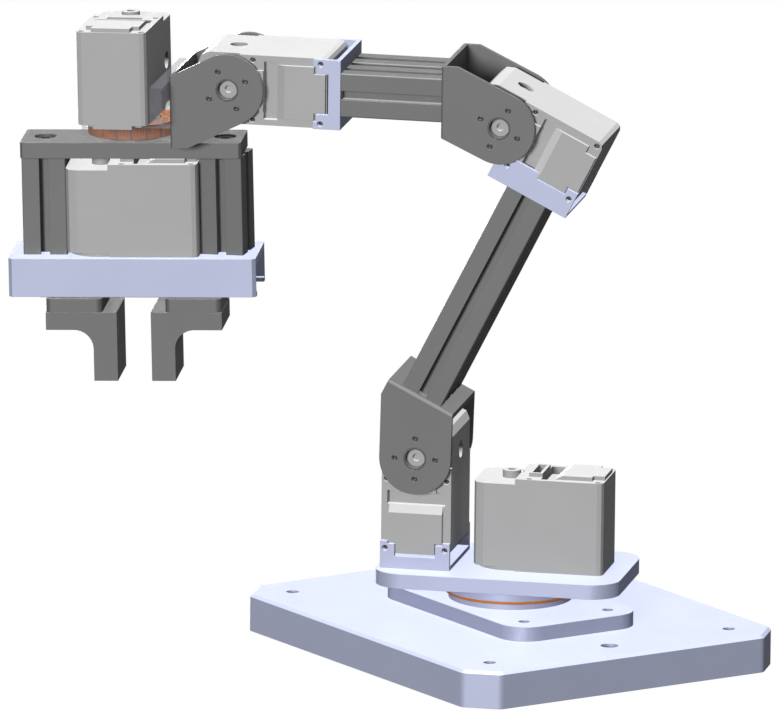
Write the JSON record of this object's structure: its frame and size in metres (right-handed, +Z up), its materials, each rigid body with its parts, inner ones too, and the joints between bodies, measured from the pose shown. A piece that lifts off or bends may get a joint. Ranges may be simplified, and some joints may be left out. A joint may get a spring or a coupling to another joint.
{
  "type": "robot arm with gripper",
  "caption": "Desktop articulated robot arm on a square base, with a turntable, servo joints, T-slot beam links, wrist roll and a parallel rack-driven gripper.",
  "frame": {"origin": "centre of the base plate's underside, on the yaw axis", "axes": "+Z up along the yaw axis; X along the base plate's shorter side and Y along its longer side; at rest the arm reaches out between -X and +Y"},
  "size_m": [0.196, 0.2043, 0.2143],
  "materials": {
    "blue_plate": "satin anodised, pale blue-grey",
    "dark_metal": "satin anodised, dark grey",
    "servo_case": "fine-grained moulded case, mid grey",
    "steel": "turned and brushed",
    "bush": "plain bearing plastic",
    "orange_ring": "moulded ring segments",
    "smoky_clear": "clear smoky moulding"
  },
  "bodies": {
    "base": {"base_plate": "blue_plate", "fixed_plate": "blue_plate", "plate_screws": "steel", "lower_race": "blue_plate", "yaw_hub": "steel", "yaw_horn": "steel"},
    "turret": {"turret_plate": "blue_plate", "upper_race": "blue_plate", "slew_cage": "orange_ring", "slew_balls": "steel", "shoulder_bracket": "blue_plate", "yaw_servo_case": "servo_case", "yaw_servo_horn_cover": "servo_case", "yaw_servo_rear_cover": "servo_case", "shoulder_servo_case": "servo_case", "shoulder_servo_horn_cover": "servo_case", "shoulder_servo_rear_cover": "servo_case"},
    "upper_arm": {"shoulder_clevis": "dark_metal", "shoulder_horn": "steel", "shoulder_idler_bush": "bush", "upper_beam_near": "dark_metal", "upper_beam_far": "dark_metal", "elbow_bracket": "blue_plate", "elbow_servo_case": "servo_case", "elbow_servo_horn_cover": "servo_case", "elbow_servo_rear_cover": "servo_case"},
    "forearm": {"elbow_clevis": "dark_metal", "elbow_horn": "steel", "elbow_idler_bush": "bush", "forearm_beam_near": "dark_metal", "forearm_beam_far": "dark_metal", "wrist_bracket": "blue_plate", "wrist_servo_case": "servo_case", "wrist_servo_horn_cover": "servo_case", "wrist_servo_rear_cover": "servo_case"},
    "wrist": {"wrist_clevis": "dark_metal", "wrist_horn": "steel", "wrist_idler_bush": "bush", "roll_bracket": "smoky_clear", "roll_bearing": "orange_ring", "roll_servo_case": "servo_case", "roll_servo_horn_cover": "servo_case", "roll_servo_rear_cover": "servo_case"},
    "gripper": {"roll_horn": "steel", "roll_hub": "steel", "gripper_top_plate": "dark_metal", "gripper_post_left": "dark_metal", "gripper_post_right": "dark_metal", "gripper_housing": "blue_plate", "gripper_servo_case": "servo_case", "gripper_servo_horn_cover": "servo_case", "gripper_servo_rear_cover": "servo_case"},
    "pinion": {"gripper_horn": "steel", "pinion": "steel"},
    "left_finger": {"left_rack": "steel", "left_carriage": "dark_metal", "left_finger": "dark_metal"},
    "right_finger": {"right_rack": "steel", "right_carriage": "dark_metal", "right_finger": "dark_metal"}
  },
  "joints": [
    {"name": "base_yaw", "type": "hinge", "parent": "base", "child": "turret", "pos_m": [0, 0, 0], "axis": [0, 0, 1], "range_deg": [-120, 120]},
    {"name": "shoulder_pitch", "type": "hinge", "parent": "turret", "child": "upper_arm", "pos_m": [-0.021, 0.021, 0.0679], "axis": [-0.7071, -0.7071, 0], "range_deg": [-35, 30]},
    {"name": "elbow_pitch", "type": "hinge", "parent": "upper_arm", "child": "forearm", "pos_m": [-0.00154, 0.00154, 0.18363], "axis": [-0.7071, -0.7071, 0], "range_deg": [-45, 22]},
    {"name": "wrist_pitch", "type": "hinge", "parent": "forearm", "child": "wrist", "pos_m": [-0.06779, 0.06779, 0.19168], "axis": [0.7071, 0.7071, 0], "range_deg": [-35, 60]},
    {"name": "wrist_roll", "type": "hinge", "parent": "wrist", "child": "gripper", "pos_m": [-0.0938, 0.0938, 0.19046], "axis": [-0.0234, 0.0234, 0.9995], "range_deg": [-90, 90]},
    {"name": "grip_drive", "type": "hinge", "parent": "gripper", "child": "pinion", "pos_m": [-0.10251, 0.10098, 0.19009], "axis": [-0.0234, 0.0234, 0.9995], "range_deg": [-110, 53]},
    {"name": "left_finger_slide", "type": "slide", "parent": "gripper", "child": "left_finger", "axis": [0.7712, -0.6357, 0.033], "range_m": [-0.0116, 0.0056]},
    {"name": "right_finger_slide", "type": "slide", "parent": "gripper", "child": "right_finger", "axis": [0.7712, -0.6357, 0.033], "range_m": [-0.0056, 0.0116]}
  ],
  "couplings": [
    {"joint": "left_finger_slide", "follows": "grip_drive", "m_per_rad": 0.006},
    {"joint": "right_finger_slide", "follows": "grip_drive", "m_per_rad": -0.006}
  ]
}
